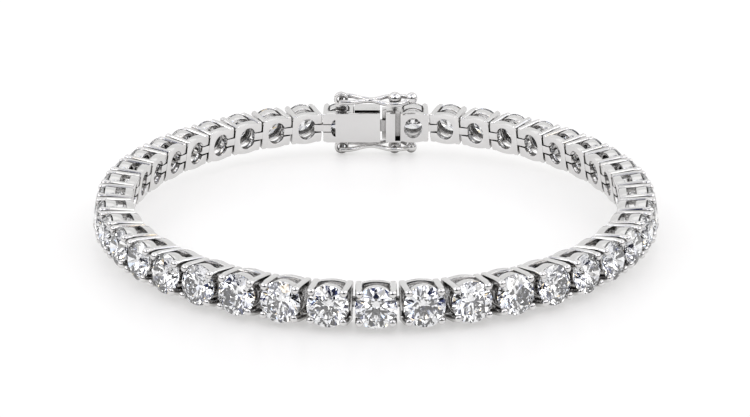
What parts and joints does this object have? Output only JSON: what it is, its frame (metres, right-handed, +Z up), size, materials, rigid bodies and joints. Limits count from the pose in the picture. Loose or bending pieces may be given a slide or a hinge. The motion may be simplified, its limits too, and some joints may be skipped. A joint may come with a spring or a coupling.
{
  "type": "tennis bracelet",
  "caption": "Flexible bracelet of claw-set round stones on hinged links, closed by a box clasp with two figure-8 safety catches.",
  "frame": {"origin": "centre of the footprint, on the surface that the bracelet stands on", "axes": "+Z up, across the chain; +Y towards the clasp; +X to the right for someone who faces the front link and looks along +Y"},
  "size_m": [0.0622, 0.064, 0.0086],
  "materials": {
    "white_gold": "polished white gold, rhodium plated",
    "diamond": "round brilliant cut, clear"
  },
  "bodies": {
    "bracelet": {"link_front": "white_gold", "link_right_01": "white_gold", "link_right_02": "white_gold", "link_right_03": "white_gold", "link_right_04": "white_gold", "link_right_05": "white_gold", "link_right_06": "white_gold", "link_right_07": "white_gold", "link_right_08": "white_gold", "link_right_09": "white_gold", "link_right_10": "white_gold", "link_right_11": "white_gold", "link_right_12": "white_gold", "link_right_13": "white_gold", "link_right_14": "white_gold", "link_right_15": "white_gold", "link_right_16": "white_gold", "link_right_17": "white_gold", "link_right_18": "white_gold", "link_right_19": "white_gold", "link_left_01": "white_gold", "link_left_02": "white_gold", "link_left_03": "white_gold", "link_left_04": "white_gold", "link_left_05": "white_gold", "link_left_06": "white_gold", "link_left_07": "white_gold", "link_left_08": "white_gold", "link_left_09": "white_gold", "link_left_10": "white_gold", "link_left_11": "white_gold", "link_left_12": "white_gold", "link_left_13": "white_gold", "link_left_14": "white_gold", "link_left_15": "white_gold", "link_left_16": "white_gold", "link_left_17": "white_gold", "link_left_18": "white_gold", "link_left_19": "white_gold", "clasp_box": "white_gold", "clasp_tongue": "white_gold"},
    "catch_top": {"safety_catch_top": "white_gold"},
    "catch_bottom": {"safety_catch_bottom": "white_gold"}
  },
  "joints": [
    {"name": "catch_top_hinge", "type": "hinge", "parent": "bracelet", "child": "catch_top", "pos_m": [-0.0044, 0.02884, 0.00761], "axis": [0, -0.9764, -0.2158], "range_deg": [0, 120]},
    {"name": "catch_bottom_hinge", "type": "hinge", "parent": "bracelet", "child": "catch_bottom", "pos_m": [-0.0044, 0.0303, 0.00097], "axis": [0, 0.9764, 0.2158], "range_deg": [0, 120]}
  ]
}
